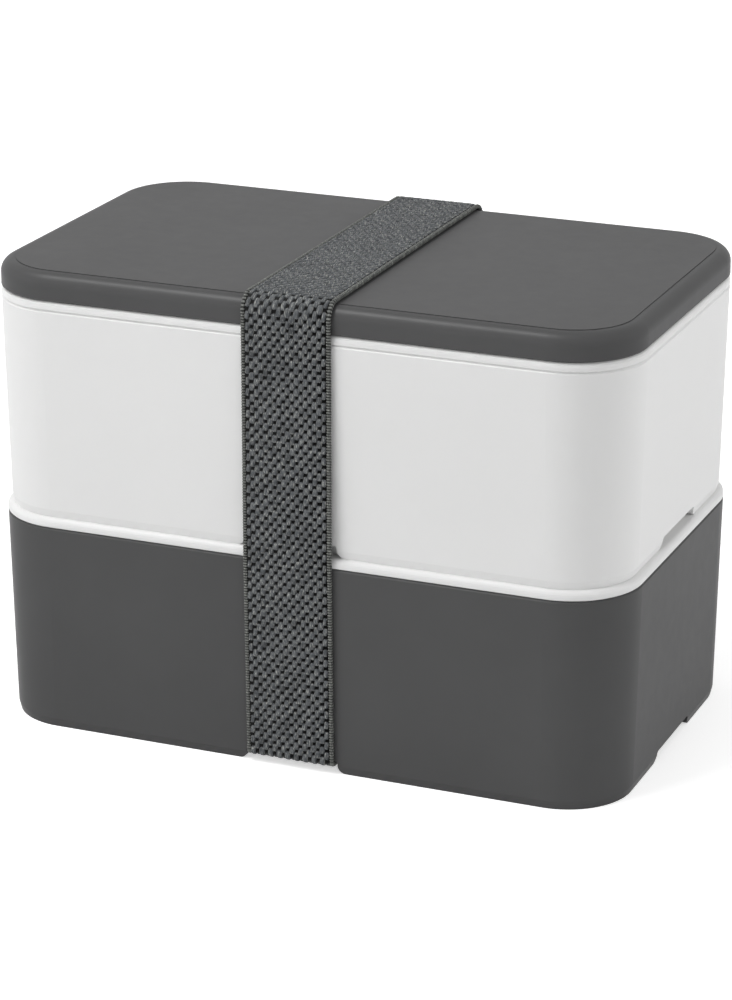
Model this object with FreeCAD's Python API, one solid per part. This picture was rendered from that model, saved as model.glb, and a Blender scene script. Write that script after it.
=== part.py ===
import FreeCAD, Part
import math
import os

Vector = FreeCAD.Vector

# Two-tier lunch box. Millimetres, +Z up, X along the long side, front face towards -Y.
# The origin is the middle of the footprint, on the plane that the foot stands on.

# Shared outline of the rims, lids and cover
LENGTH = 180.0
WIDTH = 108.0
CORNER_RADIUS = 20.0

# Container, one mould used twice
CONTAINER_HEIGHT = 58.0
WALL = 2.0
FLOOR = 2.0
DRAFT = 1.3                 # how far the wall leans in between rim and foot
RIM_BEVEL = 0.6
FLOOR_COVE = 5.0            # inside, two slopes where floor meets wall
FOOT_DEPTH = 3.6            # hollow under the floor
FOOT_WALL = 2.0
FOOT_BAND = 2.2             # height of the bevel round the foot
FOOT_BEVEL = 0.5            # how far that bevel leans in

# Slots in the long sides of the foot that let the strap under the floor
STRAP_SLOT_HEIGHT = 3.4
STRAP_SIDE_CLEARANCE = 0.6
STRAP_SLOT_MOUTH = 2.2      # rounding of the foot beside the slot
STRAP_SLOT_CORNER = 0.8

# Finger notches in the short sides of the foot
NOTCH_WIDTH = 27.0
NOTCH_HEIGHT = 3.0
NOTCH_MOUTH = 2.0
NOTCH_CORNER = 0.9

# Inner lid, one mould used twice
LID_RIM_HEIGHT = 2.5
LID_RIM_ROUND = 1.4
BEAD_FLATS = 4              # flats that draw the small round of the rim
LID_SEAT_BEVEL = 0.3
LID_PANEL = 1.6
PLATEAU_HEIGHT = 2.8        # raised middle that the foot or the cover drops over
PLATEAU_BEVEL = 0.8
LOCATING_CLEARANCE = 0.4
PLUG_DEPTH = 6.5
PLUG_WALL = 3.0
PLUG_CLEARANCE = 0.6

# Silicone ring in a groove round the plug
SEAL_TOP = 1.9              # solid plug left above the groove
SEAL_HEIGHT = 2.8
SEAL_DEPTH = 1.4
SEAL_LIP = 0.6              # thickness of each of the two lips
SEAL_FIT = 0.05
SEAL_CLEARANCE = 0.2

# Top cover
COVER_HEIGHT = 7.5
COVER_ROUND = 3.5
COVER_SEAT_BEVEL = 0.5
COVER_WALL = 2.0
COVER_TOP = 2.2
COVER_INNER_BEVEL = 1.0
COVER_LAND = 0.6            # flat left between the rounded edge and the raised panel
COVER_STEP = 0.2
RIB_THICKNESS = 1.6
RIBS_PER_LONG_SIDE = 3
RIBS_PER_SHORT_SIDE = 2
RIB_PITCH = 44.0

# Elastic strap and the thread that closes its loop
STRAP_WIDTH = 25.0
STRAP_THICKNESS = 1.4
STRAP_GAP = 0.2
STRAP_BEND = 0.3               # tight fold round the slot edge, inner face
STRAP_EASE = 20.0           # slight bend where the strap leaves the middle rim
STRAP_OVERLAP = 25.0
STITCH_LENGTH = 2.0
STITCH_WIDTH = 0.5
STITCH_PROUD = 0.15
STITCH_PITCH = 2.9
STITCHES_PER_ROW = 8
STITCH_ROW_INSET = 3.0

# Sizes that follow from those above
FLOOR_TOP = FOOT_DEPTH + FLOOR
TIER_PITCH = CONTAINER_HEIGHT + LID_RIM_HEIGHT
COVER_SEAT = 2 * TIER_PITCH
TOTAL_HEIGHT = COVER_SEAT + COVER_HEIGHT
FOOT_INSET = DRAFT + FOOT_BEVEL
FOOT_HOLLOW_INSET = FOOT_INSET + FOOT_WALL
PLATEAU_INSET = FOOT_HOLLOW_INSET + LOCATING_CLEARANCE
MOUTH_INSET = WALL + DRAFT * PLUG_DEPTH / CONTAINER_HEIGHT
PLUG_INSET = MOUTH_INSET + PLUG_CLEARANCE
SEAL_LIP_INSET = MOUTH_INSET + SEAL_CLEARANCE
STRAP_SLOT_WIDTH = STRAP_WIDTH + 2 * STRAP_SIDE_CLEARANCE
REACH = 1.0                 # how far a cutting tool runs past the faces that it cuts


def outline(inset, z):
    """Rounded rectangle at height z, drawn in from the rim outline by inset."""
    half_x = LENGTH / 2 - inset
    half_y = WIDTH / 2 - inset
    radius = CORNER_RADIUS - inset
    core_x = half_x - radius
    core_y = half_y - radius
    edges = []
    for quarter in range(4):
        sign_x = 1 if quarter in (0, 3) else -1
        sign_y = 1 if quarter in (0, 1) else -1
        centre = Vector(sign_x * core_x, sign_y * core_y, z)
        start = 90 * quarter
        edges.append(Part.makeCircle(radius, centre, Vector(0, 0, 1), start, start + 90))
    ring = []
    for quarter, arc in enumerate(edges):
        following = edges[(quarter + 1) % 4]
        ring.append(arc)
        ring.append(Part.makeLine(arc.lastVertex().Point, following.firstVertex().Point))
    return Part.Wire(ring)


def slab(inset, bottom, top):
    """Upright prism on the inset outline."""
    return Part.Face(outline(inset, bottom)).extrude(Vector(0, 0, top - bottom))


def stack(*sections):
    """Solid with straight sides through (inset, height) sections."""
    wires = [outline(inset, z) for inset, z in sections]
    return Part.makeLoft(wires, True, True)


def inset_of(point):
    """How far a point lies inside the rim outline."""
    core_x = abs(point.x) - (LENGTH / 2 - CORNER_RADIUS)
    core_y = abs(point.y) - (WIDTH / 2 - CORNER_RADIUS)
    if core_x > 0 and core_y > 0:
        return CORNER_RADIUS - math.hypot(core_x, core_y)
    return CORNER_RADIUS - max(core_x, core_y)


def edge_loop(shape, inset, z):
    """Edges that follow the inset outline at height z."""
    chosen = []
    for edge in shape.Edges:
        middle = edge.valueAt((edge.FirstParameter + edge.LastParameter) / 2)
        level = edge.BoundBox.ZLength < 1e-4 and abs(middle.z - z) < 1e-3
        if level and abs(inset_of(middle) - inset) < 1e-2:
            chosen.append(edge)
    return chosen


def rounded(shape, radius, inset, z):
    """Rounds the edge loop at the inset outline and height."""
    return shape.makeFillet(radius, edge_loop(shape, inset, z))


def bevelled(shape, size, inset, z):
    """Bevels the edge loop at the inset outline and height."""
    return shape.makeChamfer(size, edge_loop(shape, inset, z))


def softened_edge(radius, top):
    """Sections of a small rounded top edge, drawn as a few flats."""
    sections = []
    for index in range(BEAD_FLATS + 1):
        turn = math.pi / 2 * index / BEAD_FLATS
        sections.append((radius * (1 - math.cos(turn)), top - radius * (1 - math.sin(turn))))
    return sections


def wall_inset(z):
    """Inset of the drafted outer wall at height z above the foot."""
    return DRAFT * (1 - z / CONTAINER_HEIGHT)


def foot_notch(width, height, mouth, corner, run):
    """Tool for a notch up from the foot, run along Y: flared mouth, rounded top corners."""
    half = width / 2
    lean = math.sqrt(0.5)

    def side(sign):
        low = Vector(sign * (half + mouth), 0, 0)
        flare = Vector(sign * (half + mouth - mouth * lean), 0, mouth - mouth * lean)
        wall_low = Vector(sign * half, 0, mouth)
        wall_high = Vector(sign * half, 0, height - corner)
        bend = Vector(sign * (half - corner + corner * lean), 0, height - corner + corner * lean)
        roof = Vector(sign * (half - corner), 0, height)
        edges = [
            Part.makeLine(Vector(low.x, 0, -REACH), low),
            Part.Arc(low, flare, wall_low).toShape(),
            Part.makeLine(wall_low, wall_high),
            Part.Arc(wall_high, bend, roof).toShape(),
        ]
        return edges, Vector(low.x, 0, -REACH), roof

    right, right_low, right_roof = side(1)
    left, left_low, left_roof = side(-1)
    loop = right + left + [Part.makeLine(right_roof, left_roof), Part.makeLine(left_low, right_low)]
    profile = Part.Wire(Part.__sortEdges__(loop))
    tool = Part.Face(profile).extrude(Vector(0, run, 0))
    tool.translate(Vector(0, -run / 2, 0))
    return tool


def container():
    """Food container with a hollow foot, standing on z = 0."""
    shell = stack((FOOT_INSET, 0), (wall_inset(FOOT_BAND), FOOT_BAND), (0, CONTAINER_HEIGHT))
    shell = bevelled(shell, RIM_BEVEL, 0, CONTAINER_HEIGHT)
    above = CONTAINER_HEIGHT + REACH
    knee = FLOOR_COVE * (1 - math.sqrt(0.5))
    cove_top = FLOOR_TOP + FLOOR_COVE
    cavity = stack(
        (wall_inset(FLOOR_TOP) + WALL + FLOOR_COVE, FLOOR_TOP),
        (wall_inset(FLOOR_TOP) + WALL + knee, FLOOR_TOP + knee),
        (wall_inset(cove_top) + WALL, cove_top),
        (wall_inset(above) + WALL, above),
    )
    hollow_foot = slab(FOOT_HOLLOW_INSET, -REACH, FOOT_DEPTH)
    strap_slots = foot_notch(STRAP_SLOT_WIDTH, STRAP_SLOT_HEIGHT, STRAP_SLOT_MOUTH, STRAP_SLOT_CORNER, WIDTH)
    finger_notches = foot_notch(NOTCH_WIDTH, NOTCH_HEIGHT, NOTCH_MOUTH, NOTCH_CORNER, LENGTH)
    finger_notches.rotate(Vector(0, 0, 0), Vector(0, 0, 1), 90)
    return shell.cut([cavity, hollow_foot, strap_slots, finger_notches])


def inner_lid():
    """Lid with a raised middle and a plug, its rim seated on z = 0."""
    panel_top = LID_RIM_HEIGHT + PLATEAU_HEIGHT
    bead = softened_edge(LID_RIM_ROUND, LID_RIM_HEIGHT)
    rim = stack((LID_SEAT_BEVEL, 0), (0, LID_SEAT_BEVEL), *bead)
    plateau = slab(PLATEAU_INSET, 0, panel_top)
    plateau = bevelled(plateau, PLATEAU_BEVEL, PLATEAU_INSET, panel_top)
    plug = slab(PLUG_INSET, -PLUG_DEPTH, LID_RIM_HEIGHT / 2)
    underside = slab(PLUG_INSET + PLUG_WALL, -PLUG_DEPTH - REACH, panel_top - LID_PANEL)
    groove_top = -SEAL_TOP
    groove_bottom = groove_top - SEAL_HEIGHT
    groove = slab(PLUG_INSET - REACH, groove_bottom, groove_top)
    groove = groove.cut(slab(PLUG_INSET + SEAL_DEPTH, groove_bottom, groove_top))
    return rim.fuse([plateau, plug]).cut([underside, groove]).removeSplitter()


def lid_seal():
    """Ring with two lips that fills the groove of a lid seated on z = 0."""
    top = -SEAL_TOP - SEAL_FIT
    bottom = -SEAL_TOP - SEAL_HEIGHT + SEAL_FIT
    inner_inset = PLUG_INSET + SEAL_DEPTH - SEAL_FIT
    base = slab(PLUG_INSET, bottom, top)
    lips = [slab(SEAL_LIP_INSET, bottom, bottom + SEAL_LIP), slab(SEAL_LIP_INSET, top - SEAL_LIP, top)]
    bore = slab(inner_inset, bottom - REACH, top + REACH)
    return base.fuse(lips).cut(bore).removeSplitter()


def rib_places(count):
    """Places of evenly pitched ribs about the middle of a side."""
    return [(index - (count - 1) / 2) * RIB_PITCH for index in range(count)]


def top_cover():
    """Hollow cover seated on z = 0, with ribs that centre it on the lid's raised middle."""
    ceiling = COVER_HEIGHT - COVER_TOP
    shoulder = COVER_HEIGHT - COVER_STEP
    shell = slab(0, 0, shoulder)
    shell = rounded(shell, COVER_ROUND, 0, shoulder)
    shell = bevelled(shell, COVER_SEAT_BEVEL, 0, 0)
    hollow = slab(COVER_WALL, -REACH, ceiling)
    hollow = bevelled(hollow, COVER_INNER_BEVEL, COVER_WALL, ceiling)
    panel = slab(COVER_ROUND + COVER_LAND, shoulder - COVER_TOP / 2, COVER_HEIGHT)
    mid_wall = slab(COVER_WALL / 2, LID_RIM_ROUND / 2, COVER_HEIGHT - COVER_TOP / 2)
    mid_wall = rounded(mid_wall, COVER_ROUND - COVER_WALL / 2, COVER_WALL / 2, COVER_HEIGHT - COVER_TOP / 2)
    rib_depth = PLATEAU_INSET - LOCATING_CLEARANCE
    ribs = []
    for side in (1, -1):
        low_y = min(side * WIDTH / 2, side * (WIDTH / 2 - rib_depth))
        low_x = min(side * LENGTH / 2, side * (LENGTH / 2 - rib_depth))
        for x in rib_places(RIBS_PER_LONG_SIDE):
            corner = Vector(x - RIB_THICKNESS / 2, low_y, 0)
            ribs.append(Part.makeBox(RIB_THICKNESS, rib_depth, COVER_HEIGHT, corner).common(mid_wall))
        for y in rib_places(RIBS_PER_SHORT_SIDE):
            corner = Vector(low_x, y - RIB_THICKNESS / 2, 0)
            ribs.append(Part.makeBox(rib_depth, RIB_THICKNESS, COVER_HEIGHT, corner).common(mid_wall))
    return shell.cut(hollow).fuse([panel] + ribs).removeSplitter()


def rounded_loop(corners):
    """Closed wire in the YZ plane through (y, z, radius) corners, each one rounded."""
    count = len(corners)
    bends = []
    for index in range(count):
        y, z, radius = corners[index]
        corner = Vector(0, y, z)
        before = Vector(0, *corners[index - 1][:2]) - corner
        after = Vector(0, *corners[(index + 1) % count][:2]) - corner
        before.normalize()
        after.normalize()
        half_angle = before.getAngle(after) / 2
        reach = radius / math.tan(half_angle)
        inward = before + after
        inward.normalize()
        middle = corner + inward * (radius / math.sin(half_angle) - radius)
        bends.append((corner + before * reach, middle, corner + after * reach))
    edges = []
    for index, (start, middle, end) in enumerate(bends):
        following = bends[(index + 1) % count][0]
        edges.append(Part.Arc(start, middle, end).toShape())
        edges.append(Part.makeLine(end, following))
    return Part.Wire(edges)


def strap_loop(spread):
    """The strap's run round the stack, spread outwards from its inner face."""
    rim_y = WIDTH / 2 + STRAP_GAP + spread
    slot_y = WIDTH / 2 - DRAFT + STRAP_GAP + spread
    top_z = TOTAL_HEIGHT + STRAP_GAP + spread
    rim_z = TIER_PITCH
    low_z = strap_roof() - spread
    top_bend = COVER_ROUND + STRAP_GAP + spread
    slot_bend = STRAP_BEND + spread
    return rounded_loop([
        (-rim_y, top_z, top_bend),
        (-rim_y, rim_z, STRAP_EASE),
        (-slot_y, low_z, slot_bend),
        (slot_y, low_z, slot_bend),
        (rim_y, rim_z, STRAP_EASE),
        (rim_y, top_z, top_bend),
    ])


def strap_roof():
    """Height of the strap's inner face where it runs under the floor."""
    return STRAP_SLOT_HEIGHT - STRAP_GAP


def strap_underside():
    """Height of the lower face of the doubled strap under the floor."""
    return strap_roof() - 2 * STRAP_THICKNESS


def elastic_strap():
    """Closed band round the stack, doubled under the floor where its ends overlap."""
    band = Part.Face(strap_loop(STRAP_THICKNESS)).cut(Part.Face(strap_loop(0)))
    band = band.extrude(Vector(STRAP_WIDTH, 0, 0))
    band.translate(Vector(-STRAP_WIDTH / 2, 0, 0))
    overlap = Part.makeBox(STRAP_WIDTH, STRAP_OVERLAP, STRAP_THICKNESS,
                           Vector(-STRAP_WIDTH / 2, -STRAP_OVERLAP / 2, strap_underside()))
    return band.fuse(overlap).removeSplitter()


def strap_stitching():
    """Two rows of thread that hold the overlap, seen on its lower face."""
    stitches = []
    row_y = STRAP_OVERLAP / 2 - STITCH_ROW_INSET
    for y in (-row_y, row_y):
        for index in range(STITCHES_PER_ROW):
            x = (index - (STITCHES_PER_ROW - 1) / 2) * STITCH_PITCH
            stitches.append(Part.makeBox(STITCH_LENGTH, STITCH_WIDTH, STITCH_PROUD,
                                         Vector(x - STITCH_LENGTH / 2, y - STITCH_WIDTH / 2,
                                                strap_underside() - STITCH_PROUD)))
    return Part.makeCompound(stitches)


def raised(shape, height):
    """The shape moved up by height."""
    copy = shape.copy()
    copy.translate(Vector(0, 0, height))
    return copy


def main():
    lower_seat = CONTAINER_HEIGHT
    upper_seat = TIER_PITCH + CONTAINER_HEIGHT
    tier = container()
    lid = inner_lid()
    seal = lid_seal()
    pieces = {
        "lower_container": tier,
        "lower_inner_lid": raised(lid, lower_seat),
        "lower_lid_seal": raised(seal, lower_seat),
        "upper_container": raised(tier, TIER_PITCH),
        "upper_inner_lid": raised(lid, upper_seat),
        "upper_lid_seal": raised(seal, upper_seat),
        "top_cover": raised(top_cover(), COVER_SEAT),
        "elastic_strap": elastic_strap(),
        "strap_stitching": strap_stitching(),
    }
    os.makedirs("parts", exist_ok=True)
    for name, shape in pieces.items():
        shape.exportStep(f"parts/{name}.step")
        box = shape.BoundBox
        print(name, "solids", len(shape.Solids), "valid", shape.isValid(),
              "volume", round(shape.Volume, 1),
              "size", round(box.XLength, 2), round(box.YLength, 2), round(box.ZLength, 2))


main()
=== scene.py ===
import bpy
import math
import numpy as np
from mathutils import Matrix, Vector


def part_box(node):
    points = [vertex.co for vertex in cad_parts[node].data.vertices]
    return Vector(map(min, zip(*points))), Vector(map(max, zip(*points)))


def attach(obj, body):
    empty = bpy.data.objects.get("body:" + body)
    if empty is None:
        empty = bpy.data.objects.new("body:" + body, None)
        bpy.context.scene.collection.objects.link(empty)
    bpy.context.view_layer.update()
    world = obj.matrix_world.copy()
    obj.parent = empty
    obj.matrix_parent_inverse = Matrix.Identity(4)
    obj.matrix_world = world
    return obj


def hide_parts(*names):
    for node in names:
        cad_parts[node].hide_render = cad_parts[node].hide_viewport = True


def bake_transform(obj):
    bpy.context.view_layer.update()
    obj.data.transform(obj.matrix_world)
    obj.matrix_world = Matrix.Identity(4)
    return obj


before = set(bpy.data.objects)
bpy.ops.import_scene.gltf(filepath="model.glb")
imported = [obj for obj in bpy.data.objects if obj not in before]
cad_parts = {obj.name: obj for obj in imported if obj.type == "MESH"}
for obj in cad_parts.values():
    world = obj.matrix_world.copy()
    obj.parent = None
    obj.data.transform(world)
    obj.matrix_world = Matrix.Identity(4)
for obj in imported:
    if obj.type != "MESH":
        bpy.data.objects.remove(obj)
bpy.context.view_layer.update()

MM = 0.001

# Camera, in the photograph's frame of 732 by 1000 pixels
IMAGE_HEIGHT = 1000
FOCAL_PIXELS = 3505
CAMERA_PLACE = (0.3440, -0.8366, 0.3780)
CAMERA_AZIMUTH = 22.38
CAMERA_PITCH = 17.38
CAMERA_SHIFT = -0.13        # the photograph's uprights stand nearly parallel
SENSOR = 36.0
NEAREST_SEEN = 0.01

# Studio
FLOOR_REACH = 20.0
FLOOR_TONE = (0.9, 0.9, 0.9, 1)
FLOOR_ROUGHNESS = 0.9
FLOOR_GLOW = 0.55
WORLD_LIGHT = 0.5
LIT_POINT = (0, 0, 0.06)
WHITE = (1, 1, 1, 1)

# Moulded plastic
MOTTLE_SCALE = 18.0
GLOSS_SCALE = 260.0
GLOSS_SPREAD = 0.05
GRAIN_SCALE = 2600.0
GRAIN_DEPTH = 0.05 * MM

# Yarn and thread
FIBRE_STRETCH = (3.6, 0.75, 1.0)
FIBRE_ROUGHNESS = 0.75      # how ragged the fibres' pattern is
FIBRE_SPREAD = 0.19
FIBRE_MIDDLE = 0.53         # where the light colour lies, between the dark one and the painted glints of the lightest fibres
FIBRE_BUMP = 0.7
FIBRE_DEPTH = 0.2 * MM
YARN_ROUGHNESS = 0.75
YARN_GLOSS = 0.08
YARN_SHEEN = 0.03
THREAD_SCALE = 1500.0
THREAD_DARK = (0.24, 0.25, 0.26)
THREAD_LIGHT = (0.42, 0.43, 0.44)
THREAD_ROUGHNESS = 0.7
THREAD_BUMP = 0.5
THREAD_DEPTH = 0.1 * MM

# Strap: sizes that follow the solid
strap_low, strap_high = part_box("elastic_strap")
cover_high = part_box("top_cover")[1]
tier_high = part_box("lower_container")[1]
STRAP_GAP = 0.2 * MM
STRAP_WIDTH = strap_high[0] - strap_low[0]
STRAP_THICKNESS = strap_high[2] - cover_high[2] - STRAP_GAP
WALL_LEAN = 1.3 * MM        # from the foot of the lower container out to its rim
RIM_Y = cover_high[1] + STRAP_GAP
SLOT_Y = RIM_Y - WALL_LEAN
TOP_Z = cover_high[2] + STRAP_GAP
BOTTOM_Z = strap_low[2] + 2 * STRAP_THICKNESS
MIDDLE_RIM_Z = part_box("upper_container")[0][2]
TOP_BEND = 3.7 * MM
SLOT_BEND = 0.3 * MM
EASE_BEND = 20.0 * MM
OVERLAP_LENGTH = 25.0 * MM
STILL_BELOW_RIM = 12 * MM   # the strap is cut into stretches only above this, clear of the leaning wall
RUN_SAMPLES = 20001

# Weave of the strap
COLUMNS = 18
ROWS = 314                  # even, so that the pattern closes round the loop
YARN_SIDES = 6
YARN_STEPS = 8              # along each row
HIDDEN_YARN_STEPS = 6       # along each row under the floor
YARN_HEIGHT = 0.36 * MM
YARN_DIP = 0.22 * MM
YARN_WIDE = 0.82 * MM
YARN_NARROW = 0.46 * MM
YARN_SQUARENESS = 5.0       # how sharply a yarn turns from over to under
YARN_FLOAT = 0.52           # how much longer it runs over than under
YARN_SLANT = 0.22 * MM      # sideways drift of a yarn while it is over
YARN_SHADE = 0.6            # how far down a yarn keeps its own colour; lower down it darkens towards the colour of the pits, painted shade
OUTER_YARN_TRIM = 0.78      # leaves a groove beside each selvedge
FLANK_SHADE = 0.2           # painted shade: how much darker the sides of a yarn are
FLANK_LIFT = 0.3            # keeps that painted shade low on the sides
SEED = 7                    # the same weave at every run
LEAN_SPREAD = 0.05          # in millimetres
SWELL_SPREAD = 0.08
TONE_MEAN = 0.92
TONE_SPREAD = 0.12
TONE_LEAST = 0.5
FIBRE_OFFSET = 7.3          # so that neighbouring yarns don't share their fibres
BACKING_THICKNESS = 1.00 * MM
BACKING_LIFT = 0.05 * MM
BACKING_STEP = 1.2 * MM

# Selvedges of the strap
SELVEDGE = 1.3 * MM
BACKING_INSET = SELVEDGE * 0.6
EDGE = 1                    # material of the selvedges, after that of the yarns
CORD_SIDES = 8
CORD_HALF_WIDTH = 0.62 * MM
CORD_HALF_HEIGHT = STRAP_THICKNESS * 0.45
CORD_FULLNESS = 0.6         # fuller than an ellipse
RIB_PITCH = 0.75 * MM
RIB_DEPTH = 0.16 * MM
RIB_STEPS = 4
# tone of the selvedges' turns of weft: painted shade in the grooves between them
RIB_TONE = 0.65
RIB_CONTRAST = 0.9
RIB_DARKEST = 0.05


def principled(name):
    """New material, its node tree and its shader node."""
    material = bpy.data.materials.new(name)
    material.use_nodes = True
    return material, material.node_tree, material.node_tree.nodes["Principled BSDF"]


def noise(tree, scale, detail=3.0, roughness=0.6, stretch=None, coordinates="Object"):
    """Noise node on object or UV coordinates, with an optional stretch."""
    place = tree.nodes.new("ShaderNodeTexCoord")
    node = tree.nodes.new("ShaderNodeTexNoise")
    node.inputs["Scale"].default_value = scale
    node.inputs["Detail"].default_value = detail
    node.inputs["Roughness"].default_value = roughness
    if stretch is None:
        tree.links.new(place.outputs[coordinates], node.inputs["Vector"])
        return node
    mapping = tree.nodes.new("ShaderNodeMapping")
    mapping.inputs["Scale"].default_value = stretch
    tree.links.new(place.outputs[coordinates], mapping.inputs["Vector"])
    tree.links.new(mapping.outputs["Vector"], node.inputs["Vector"])
    return node


def ramp(tree, source, low, high, spread=0.2):
    """Colour ramp from low to high over the middle of a noise value."""
    node = tree.nodes.new("ShaderNodeValToRGB")
    node.color_ramp.elements[0].position = 0.5 - spread
    node.color_ramp.elements[0].color = (*low, 1)
    node.color_ramp.elements[1].position = 0.5 + spread
    node.color_ramp.elements[1].color = (*high, 1)
    tree.links.new(source, node.inputs["Fac"])
    return node


def bump(tree, source, shader, strength, distance):
    """Bump from a height source into the shader's normal."""
    node = tree.nodes.new("ShaderNodeBump")
    node.inputs["Strength"].default_value = strength
    node.inputs["Distance"].default_value = distance
    tree.links.new(source, node.inputs["Height"])
    tree.links.new(node.outputs["Normal"], shader.inputs["Normal"])


def seen_directly(tree, *kinds):
    """Output that is 1 for the camera's rays and the other kinds named, and 0 for other rays."""
    path = tree.nodes.new("ShaderNodeLightPath")
    total = path.outputs["Is Camera Ray"]
    for kind in kinds:
        add = tree.nodes.new("ShaderNodeMath")
        add.operation = "ADD"
        add.use_clamp = True
        tree.links.new(total, add.inputs[0])
        tree.links.new(path.outputs[kind], add.inputs[1])
        total = add.outputs["Value"]
    return total


def between(tree, source, low, high):
    """Output that runs from low to high as the source runs from 0 to 1."""
    node = tree.nodes.new("ShaderNodeMapRange")
    node.inputs["To Min"].default_value = low
    node.inputs["To Max"].default_value = high
    tree.links.new(source, node.inputs["Value"])
    return node.outputs["Result"]


def moulded_plastic(name, colour, spread, roughness, gloss_level, grain):
    """Satin moulded plastic: faint mottling, uneven gloss and a fine spark-eroded grain."""
    material, tree, shader = principled(name)
    mottle = noise(tree, MOTTLE_SCALE, detail=4.0)
    low = [c * (1 - spread) for c in colour]
    high = [min(1.0, c * (1 + spread)) for c in colour]
    tint = ramp(tree, mottle.outputs["Fac"], low, high)
    tree.links.new(tint.outputs["Color"], shader.inputs["Base Color"])
    gloss = noise(tree, GLOSS_SCALE, detail=2.0)
    shine = between(tree, gloss.outputs["Fac"], roughness - GLOSS_SPREAD, roughness + GLOSS_SPREAD)
    tree.links.new(shine, shader.inputs["Roughness"])
    shader.inputs["Specular IOR Level"].default_value = gloss_level
    fine = noise(tree, GRAIN_SCALE, detail=2.0)
    bump(tree, fine.outputs["Fac"], shader, grain, GRAIN_DEPTH)
    return material


def yarn_material(name, dark, light, fibre_glint, core_and_pit_shade):
    """Textured yarn: fibres along its length, with painted glints at the lightest fibres, and painted
    shade where it dives and on its sides, so that its crowns stand lighter.
    """
    material, tree, shader = principled(name)
    fibres = noise(tree, scale=1.0, detail=4.0, roughness=FIBRE_ROUGHNESS, stretch=FIBRE_STRETCH,
                   coordinates="UV")
    # the lightest colour stop is a painted glint, scattered over the fibres at random
    fibre_tint = ramp(tree, fibres.outputs["Fac"], dark, fibre_glint, FIBRE_SPREAD)
    middle = fibre_tint.color_ramp.elements.new(FIBRE_MIDDLE)
    middle.color = (*light, 1)
    # the rise attribute carries painted shade: low where a yarn dives, on its sides and in the selvedges'
    # grooves, where the colour goes to that of the pits; on the backing that colour also stands for the
    # dark core
    rise = tree.nodes.new("ShaderNodeAttribute")
    rise.attribute_name = "rise"
    pit_shade_mix = tree.nodes.new("ShaderNodeMix")
    pit_shade_mix.data_type = "RGBA"
    pit_shade_mix.inputs["A"].default_value = (*core_and_pit_shade, 1)
    tree.links.new(rise.outputs["Fac"], pit_shade_mix.inputs["Factor"])
    tree.links.new(fibre_tint.outputs["Color"], pit_shade_mix.inputs["B"])
    tree.links.new(pit_shade_mix.outputs["Result"], shader.inputs["Base Color"])
    shader.inputs["Roughness"].default_value = YARN_ROUGHNESS
    shader.inputs["Specular IOR Level"].default_value = YARN_GLOSS
    shader.inputs["Sheen Weight"].default_value = YARN_SHEEN
    bump(tree, fibres.outputs["Fac"], shader, FIBRE_BUMP, FIBRE_DEPTH)
    return material


def thread_material():
    """Twisted sewing thread."""
    material, tree, shader = principled("thread")
    twist = noise(tree, THREAD_SCALE)
    tint = ramp(tree, twist.outputs["Fac"], THREAD_DARK, THREAD_LIGHT)
    tree.links.new(tint.outputs["Color"], shader.inputs["Base Color"])
    shader.inputs["Roughness"].default_value = THREAD_ROUGHNESS
    bump(tree, twist.outputs["Fac"], shader, THREAD_BUMP, THREAD_DEPTH)
    return material


def dress(node, material):
    """Gives a CAD node a finish."""
    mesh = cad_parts[node].data
    mesh.materials.clear()
    mesh.materials.append(material)


class Run:
    """A closed path in the YZ plane through corners (y, z, bend radius), measured by length."""

    def __init__(self, corners):
        self.pieces = []
        self.length = 0.0
        count = len(corners)
        bends = []
        for index, (y, z, radius) in enumerate(corners):
            corner = np.array([y, z])
            before = np.array(corners[index - 1][:2]) - corner
            after = np.array(corners[(index + 1) % count][:2]) - corner
            before = before / np.linalg.norm(before)
            after = after / np.linalg.norm(after)
            half_angle = math.acos(float(np.clip(before @ after, -1, 1))) / 2
            reach = radius / math.tan(half_angle)
            inward = (before + after) / np.linalg.norm(before + after)
            centre = corner + inward * radius / math.sin(half_angle)
            turn = math.pi - 2 * half_angle
            bends.append((corner + before * reach, corner + after * reach, centre, radius, turn))
        for index, (start, end, centre, radius, turn) in enumerate(bends):
            self.add_arc(start, centre, radius, turn)
            self.add_line(end, bends[(index + 1) % count][0])

    def add_line(self, start, end):
        """Adds a straight run."""
        length = float(np.linalg.norm(end - start))
        self.pieces.append(("line", self.length, length, start, (end - start) / length))
        self.length += length

    def add_arc(self, start, centre, radius, turn):
        """Adds a round bend."""
        self.pieces.append(("arc", self.length, radius * turn, centre, start - centre))
        self.length += radius * turn

    def at(self, distance):
        """Points and outward normals at distances along the path, which may pass its ends."""
        distance = np.mod(distance, self.length)
        points = np.zeros((len(distance), 2))
        normals = np.zeros((len(distance), 2))
        for kind, start, length, origin, way in self.pieces:
            inside = (distance >= start) & (distance <= start + length)
            along = distance[inside] - start
            if kind == "line":
                points[inside] = origin + along[:, None] * way
                normals[inside] = np.array([way[1], -way[0]])
                continue
            radius = np.linalg.norm(way)
            angle = along / radius
            spoke = way / radius
            turned = np.stack([spoke[0] * np.cos(angle) - spoke[1] * np.sin(angle),
                               spoke[0] * np.sin(angle) + spoke[1] * np.cos(angle)], 1)
            points[inside] = origin + radius * turned
            normals[inside] = turned
        return points, normals


def strap_run():
    """The strap's inner face round the stack, anticlockwise seen from +X."""
    return Run([
        (SLOT_Y, BOTTOM_Z, SLOT_BEND),
        (RIM_Y, MIDDLE_RIM_Z, EASE_BEND),
        (RIM_Y, TOP_Z, TOP_BEND),
        (-RIM_Y, TOP_Z, TOP_BEND),
        (-RIM_Y, MIDDLE_RIM_Z, EASE_BEND),
        (-SLOT_Y, BOTTOM_Z, SLOT_BEND),
    ])


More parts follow.
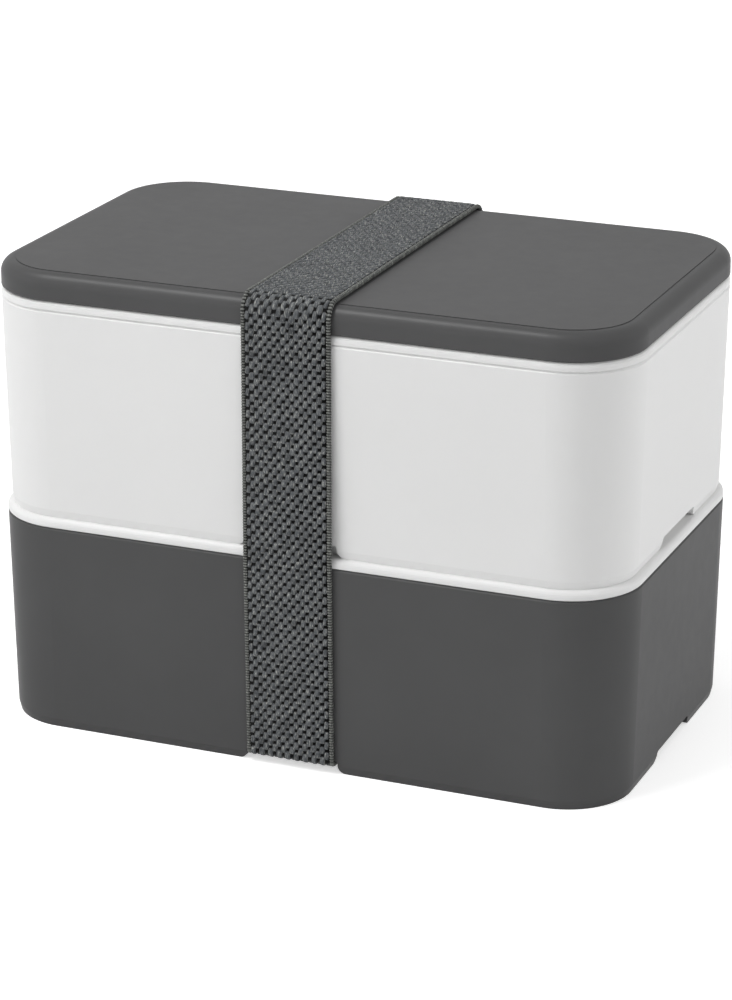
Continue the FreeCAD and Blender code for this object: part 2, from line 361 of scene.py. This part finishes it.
class MeshBuilder:
    """Collects closed tubes and makes one mesh of them."""

    def __init__(self):
        self.points = []
        self.quads = []
        self.caps = []
        self.uvs = []
        self.rise = []
        self.kinds = []
        self.count = 0

    def tube(self, rings, uv, rise, kind=0):
        """Adds a capped tube: rings is (steps, sides, 3), uv (steps, sides, 2), rise (steps, sides), the
        tone with its painted shade.
        """
        steps, sides, _ = rings.shape
        index = self.count + np.arange(steps * sides).reshape(steps, sides)
        following = np.roll(index, -1, axis=1)
        quads = np.stack([index[:-1], following[:-1], following[1:], index[1:]], -1).reshape(-1, 4)
        self.quads.append(quads)
        self.caps.append(index[0][::-1])
        self.caps.append(index[-1])
        self.kinds.append((len(quads), kind))
        self.points.append(rings.reshape(-1, 3))
        self.uvs.append(uv.reshape(-1, 2))
        self.rise.append(rise.reshape(-1))
        self.count += steps * sides

    def make(self, name, materials):
        """Makes the mesh object, with its weave coordinates and the yarns' rise, their tone with its
        painted shade, as an attribute.
        """
        points = np.concatenate(self.points)
        quads = np.concatenate(self.quads)
        uvs = np.concatenate(self.uvs)
        corners = np.concatenate([quads.reshape(-1)] + self.caps)
        sizes = np.concatenate([np.full(len(quads), 4), np.array([len(cap) for cap in self.caps])])
        starts = np.concatenate([[0], np.cumsum(sizes)[:-1]])
        mesh = bpy.data.meshes.new(name)
        mesh.vertices.add(len(points))
        mesh.vertices.foreach_set("co", points.astype(np.float32).reshape(-1))
        mesh.loops.add(len(corners))
        mesh.loops.foreach_set("vertex_index", corners.astype(np.int32))
        mesh.polygons.add(len(sizes))
        mesh.polygons.foreach_set("loop_start", starts.astype(np.int32))
        mesh.polygons.foreach_set("use_smooth", np.ones(len(sizes), bool))
        for material in materials:
            mesh.materials.append(material)
        sheets = np.concatenate([np.full(count, kind) for count, kind in self.kinds])
        ends = np.repeat([kind for count, kind in self.kinds], 2)
        mesh.polygons.foreach_set("material_index", np.concatenate([sheets, ends]).astype(np.int32))
        layer = mesh.uv_layers.new(name="weave")
        layer.data.foreach_set("uv", uvs[corners].astype(np.float32).reshape(-1))
        attribute = mesh.attributes.new("rise", "FLOAT", "POINT")
        attribute.data.foreach_set("value", np.concatenate(self.rise).astype(np.float32))
        mesh.update()
        mesh.validate()
        piece = bpy.data.objects.new(name, mesh)
        bpy.context.scene.collection.objects.link(piece)
        return piece


def ring_points(run, distance, across, above, half_width, half_height, sides, fullness=1.0):
    """Rings of a tube that follows the run, at (across, above) its inner face; elliptic, or
    fuller at the corners with a fullness below 1."""
    points, normals = run.at(distance)
    turn = np.arange(sides) * 2 * math.pi / sides
    rise = np.sign(np.sin(turn)) * np.abs(np.sin(turn)) ** fullness
    reach = np.sign(np.cos(turn)) * np.abs(np.cos(turn)) ** fullness
    out = above[:, None] + half_height[:, None] * rise
    x = across[:, None] + half_width[:, None] * reach
    y = points[:, :1] + normals[:, :1] * out
    z = points[:, 1:] + normals[:, 1:] * out
    uv = np.stack([x / MM, np.repeat(distance[:, None] / MM, sides, 1)], -1)
    return np.stack([x, y, z], -1), uv


rng = np.random.default_rng(SEED)
column_pitch = (STRAP_WIDTH - 2 * SELVEDGE) / COLUMNS
crown_height = STRAP_THICKNESS - YARN_HEIGHT
column_lean = rng.normal(0, LEAN_SPREAD, (COLUMNS, ROWS)) * MM
column_swell = rng.normal(1, SWELL_SPREAD, (COLUMNS, ROWS))
column_tone = np.clip(rng.normal(TONE_MEAN, TONE_SPREAD, (COLUMNS, ROWS)), TONE_LEAST, 1)


def add_yarns(builder, run, start, end, lift, per_row):
    """Warp yarns that pass over and under in turn, neighbours out of step."""
    row = run.length / ROWS
    steps = max(2, int(round((end - start) / row * per_row)))
    distance = np.linspace(start, end, steps + 1)
    phase = distance / row
    cell = np.mod(np.floor(phase + 0.5).astype(int), ROWS)
    # painted shade on the sides of each yarn, set by which way each side faces
    facing = np.sin(np.arange(YARN_SIDES) * 2 * math.pi / YARN_SIDES)
    painted_flank_shade = 1 - FLANK_SHADE + FLANK_SHADE * np.clip(facing + FLANK_LIFT, 0, 1)
    for column in range(COLUMNS):
        wave = np.tanh(YARN_SQUARENESS * (np.cos(math.pi * (phase + column)) + YARN_FLOAT))
        over = (wave + 1) / 2
        place = np.mod(phase + column + 1, 2) - 1
        lean = column_lean[column][cell] - YARN_SLANT * place
        across = (column + 0.5) * column_pitch - STRAP_WIDTH / 2 + SELVEDGE + lean * over
        above = lift + crown_height - YARN_DIP * (1 - wave)
        swell = 1 + (column_swell[column][cell] - 1) * over
        width = (YARN_NARROW + (YARN_WIDE - YARN_NARROW) * over) * swell
        if column in (0, COLUMNS - 1):
            width = width * OUTER_YARN_TRIM
        height = np.full_like(width, YARN_HEIGHT)
        rings, uv = ring_points(run, distance, across, above, width, height, YARN_SIDES)
        uv[..., 0] += FIBRE_OFFSET * column
        # painted shade: the colour darkens as the yarn dives to the pits, times the yarn's own random
        # tone
        shade = np.clip(over / YARN_SHADE, 0, 1) * column_tone[column][cell]
        builder.tube(rings, uv, shade[:, None] * painted_flank_shade)


def add_selvedges(builder, run, start, end, lift):
    """Corded edges, each wrapped by fine turns of weft."""
    steps = max(4, int(round((end - start) / RIB_PITCH * RIB_STEPS)))
    distance = np.linspace(start, end, steps + 1)
    rib = np.cos(2 * math.pi * distance / RIB_PITCH)
    half_width = CORD_HALF_WIDTH + RIB_DEPTH * (rib - 1) / 2
    half_height = CORD_HALF_HEIGHT + RIB_DEPTH * (rib - 1) / 2
    # painted shade: darker in the grooves between turns of weft
    rise = np.clip(RIB_TONE + RIB_CONTRAST * rib, RIB_DARKEST, 1)
    for side in (-1, 1):
        across = np.full_like(distance, side * (STRAP_WIDTH / 2 - CORD_HALF_WIDTH))
        above = np.full_like(distance, lift + STRAP_THICKNESS / 2)
        rings, uv = ring_points(run, distance, across, above, half_width, half_height, CORD_SIDES,
                                CORD_FULLNESS)
        builder.tube(rings, uv, np.repeat(rise[:, None], CORD_SIDES, 1), EDGE)


def add_backing(builder, run, start, end, lift):
    """Dark rubber-cored ground behind the yarns, in the colour of the pits: its dark core, with painted
    shade in the gaps.
    """
    steps = max(4, int(round((end - start) / BACKING_STEP)))
    distance = np.linspace(start, end, steps + 1)
    points, normals = run.at(distance)
    half = STRAP_WIDTH / 2 - BACKING_INSET
    low = lift + BACKING_LIFT
    high = lift + BACKING_THICKNESS
    section = [(-half, low), (half, low), (half, high), (-half, high)]
    rings = np.zeros((len(distance), 4, 3))
    for index, (x, out) in enumerate(section):
        rings[:, index, 0] = x
        rings[:, index, 1:] = points + normals * out
    uv = np.stack([rings[..., 0] / MM, np.repeat(distance[:, None] / MM, 4, 1)], -1)
    # no rise, so the backing takes the colour of the pits: painted shade seen through the gaps, besides
    # the dark core
    builder.tube(rings, uv, np.zeros(rings.shape[:2]))


def strap_piece(name, run, spans, materials, per_row=YARN_STEPS):
    """One stretch of the strap, made of (start, end, lift) spans of its run."""
    builder = MeshBuilder()
    for span in spans:
        add_backing(builder, run, *span)
        add_yarns(builder, run, *span, per_row)
        add_selvedges(builder, run, *span)
    piece = builder.make(name, materials)
    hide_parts("elastic_strap")
    return piece


def build_strap(materials):
    """The strap in stretches: one under the floor goes with the lower tier, and the rest are cut between
    even levels up its sides and over the top.
    """
    run = strap_run()
    chain = ["lower_tier", "lower_lid", "upper_tier", "upper_lid", "cover", "strap"]
    low = tier_high[2] - STILL_BELOW_RIM
    high = TOP_Z - TOP_BEND
    levels = np.linspace(low, high, len(chain))
    samples = np.linspace(0, run.length, RUN_SAMPLES)
    y, z = run.at(samples)[0].T
    middle_top = samples[np.argmin(np.where(z < TOP_Z / 2, np.inf, np.abs(y)))]
    climb = samples <= middle_top
    names = ["strap_under", "strap_low", "strap_middle", "strap_high", "strap_over"]
    cuts = [0.0] + [float(np.interp(level, z[climb], samples[climb])) for level in levels[1:]]
    mirror = 2 * middle_top
    seam = middle_top - run.length / 2
    half_overlap = OVERLAP_LENGTH / 2
    under_floor = (mirror - run.length, 0.0, 0.0)
    overlap = (seam - half_overlap, seam + half_overlap, STRAP_THICKNESS)
    foot = strap_piece("strap_foot", run, [under_floor, overlap], materials, HIDDEN_YARN_STEPS)
    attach(foot, "lower_tier")
    for index, name in enumerate(names):
        begin = cuts[index]
        end = cuts[index + 1]
        spans = [(begin, end, 0.0), (mirror - end, mirror - begin, 0.0)]
        if index == len(names) - 1:
            spans = [(begin, mirror - begin, 0.0)]
        piece = strap_piece(name, run, spans, materials)
        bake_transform(piece)


def camera():
    """Camera at the photograph's viewing angle."""
    data = bpy.data.cameras.new("camera")
    data.sensor_fit = "VERTICAL"
    data.sensor_height = SENSOR
    data.lens = FOCAL_PIXELS / IMAGE_HEIGHT * SENSOR
    data.shift_y = CAMERA_SHIFT
    data.clip_start = NEAREST_SEEN
    obj = bpy.data.objects.new("camera", data)
    obj.location = CAMERA_PLACE
    obj.rotation_euler = (math.radians(90 - CAMERA_PITCH), 0, math.radians(CAMERA_AZIMUTH))
    bpy.context.scene.collection.objects.link(obj)
    bpy.context.scene.camera = obj


def area_light(name, place, size, watts, sheen_only=False):
    """Soft box aimed at the object, which may show in the sheen alone."""
    data = bpy.data.lights.new(name, "AREA")
    data.shape = "RECTANGLE"
    data.size = size[0]
    data.size_y = size[1]
    data.energy = watts
    obj = bpy.data.objects.new(name, data)
    obj.location = place
    obj.visible_diffuse = not sheen_only
    aim = np.array(LIT_POINT) - np.array(place)
    aim = aim / np.linalg.norm(aim)
    obj.rotation_euler = (math.acos(-aim[2]), 0, math.atan2(-aim[0], aim[1]))
    bpy.context.scene.collection.objects.link(obj)


def floor():
    """White floor that keeps a soft shadow."""
    mesh = bpy.data.meshes.new("floor")
    corners = [(-1, -1), (1, -1), (1, 1), (-1, 1)]
    mesh.from_pydata([(x * FLOOR_REACH, y * FLOOR_REACH, 0) for x, y in corners], [], [(0, 1, 2, 3)])
    obj = bpy.data.objects.new("floor", mesh)
    bpy.context.scene.collection.objects.link(obj)
    material, tree, shader = principled("floor_white")
    shader.inputs["Base Color"].default_value = FLOOR_TONE
    shader.inputs["Roughness"].default_value = FLOOR_ROUGHNESS
    shader.inputs["Specular IOR Level"].default_value = 0.0
    shader.inputs["Emission Color"].default_value = WHITE
    shown = seen_directly(tree, "Is Glossy Ray", "Is Transmission Ray")
    tree.links.new(between(tree, shown, 0.0, FLOOR_GLOW), shader.inputs["Emission Strength"])
    mesh.materials.append(material)


def studio():
    """White surroundings and soft boxes."""
    floor()
    world = bpy.data.worlds.new("studio")
    world.use_nodes = True
    bpy.context.scene.world = world
    tree = world.node_tree
    background = tree.nodes["Background"]
    background.inputs["Color"].default_value = WHITE
    shown = seen_directly(tree, "Is Glossy Ray", "Is Transmission Ray")
    tree.links.new(between(tree, shown, WORLD_LIGHT, 1.0), background.inputs["Strength"])
    area_light("left_box", place=(-0.9, -0.9, 0.7), size=(0.8, 0.8), watts=3.8)
    area_light("right_box", place=(1.2, 0.5, 0.5), size=(0.7, 0.7), watts=4.3)
    area_light("overhead_box", place=(-0.40, -0.50, 1.2), size=(0.5, 0.4), watts=5.8)
    area_light("edge_strip", place=(-0.46, -0.25, 1.25), size=(0.5, 0.3), watts=40.0, sheen_only=True)


bpy.context.scene.view_settings.view_transform = "Standard"
camera()
studio()
dark = moulded_plastic("dark_satin_plastic", colour=(0.092, 0.092, 0.093), spread=0.05,
                       roughness=0.38, gloss_level=0.03, grain=0.10)
white = moulded_plastic("white_satin_plastic", colour=(0.81, 0.81, 0.807), spread=0.01,
                        roughness=0.42, gloss_level=0.1, grain=0.10)
silicone = moulded_plastic("silicone", colour=(0.72, 0.72, 0.70), spread=0.02,
                           roughness=0.5, gloss_level=0.4, grain=0.05)
thread = thread_material()
# the near-black colours are painted shade in the pits; the pale ones are painted glints on the fibres
webbing = yarn_material("grey_webbing", dark=(0.053, 0.059, 0.064), light=(0.138, 0.146, 0.154),
                        fibre_glint=(0.62, 0.62, 0.57), core_and_pit_shade=(0.003, 0.003, 0.003))
edging = yarn_material("webbing_edge", dark=(0.085, 0.089, 0.085), light=(0.215, 0.223, 0.212),
                       fibre_glint=(0.52, 0.53, 0.49), core_and_pit_shade=(0.010, 0.010, 0.009))
for name in ("lower_container", "top_cover"):
    dress(name, dark)
for name in ("upper_container", "lower_inner_lid", "upper_inner_lid"):
    dress(name, white)
for name in ("lower_lid_seal", "upper_lid_seal"):
    dress(name, silicone)
dress("strap_stitching", thread)
build_strap([webbing, edging])
